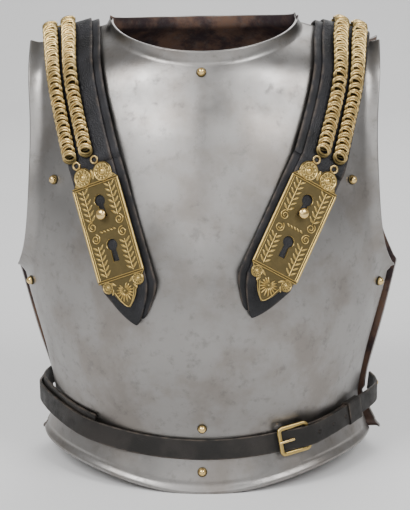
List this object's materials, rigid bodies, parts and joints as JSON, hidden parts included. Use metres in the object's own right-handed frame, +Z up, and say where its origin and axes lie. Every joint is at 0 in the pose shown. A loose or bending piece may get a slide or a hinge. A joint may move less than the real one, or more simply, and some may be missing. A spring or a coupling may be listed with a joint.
{
  "type": "cuirass",
  "caption": "Heavy cavalry cuirass: domed steel breastplate and backplate joined by chained leather shoulder straps and a buckled waist belt.",
  "frame": {"origin": "centre of the bounding box in plan, on the plane the lower rims stand on", "axes": "+Z up through the neck, -Y to the wearer's front, +X to the wearer's left"},
  "size_m": [0.3622, 0.2858, 0.4347],
  "materials": {
    "steel": "satin polished, worn and faintly rust-stained",
    "brass": "aged, polished on the high places",
    "leather": "old black and dark brown leather, pebbled"
  },
  "bodies": {
    "root": {"breastplate": "steel", "backplate": "steel", "rivet_strap_outer_left": "brass", "rivet_strap_outer_right": "brass", "rivet_strap_inner_left": "brass", "rivet_strap_inner_right": "brass", "rivet_neck": "brass", "rivet_chest_left": "brass", "rivet_chest_right": "brass", "rivet_side_left": "brass", "rivet_side_right": "brass", "rivet_waist": "brass", "rivet_rim": "brass", "rivet_back_neck": "brass", "rivet_back_waist": "brass", "rivet_belt_left": "brass", "rivet_belt_right": "brass", "chain_outer_left": "brass", "chain_inner_left": "brass", "chain_ring_outer_left": "brass", "chain_ring_inner_left": "brass", "chain_bar_left": "brass", "keyhole_plate_left": "brass", "stud_left": "brass", "chain_outer_right": "brass", "chain_inner_right": "brass", "chain_ring_outer_right": "brass", "chain_ring_inner_right": "brass", "chain_bar_right": "brass", "keyhole_plate_right": "brass", "stud_right": "brass", "buckle_frame": "brass", "buckle_prong": "brass", "strap_left": "leather", "strap_right": "leather", "strap_backing_left": "leather", "strap_backing_right": "leather", "belt_long": "leather", "belt_short": "leather", "belt_fold": "leather", "belt_keeper": "leather"}
  },
  "joints": []
}
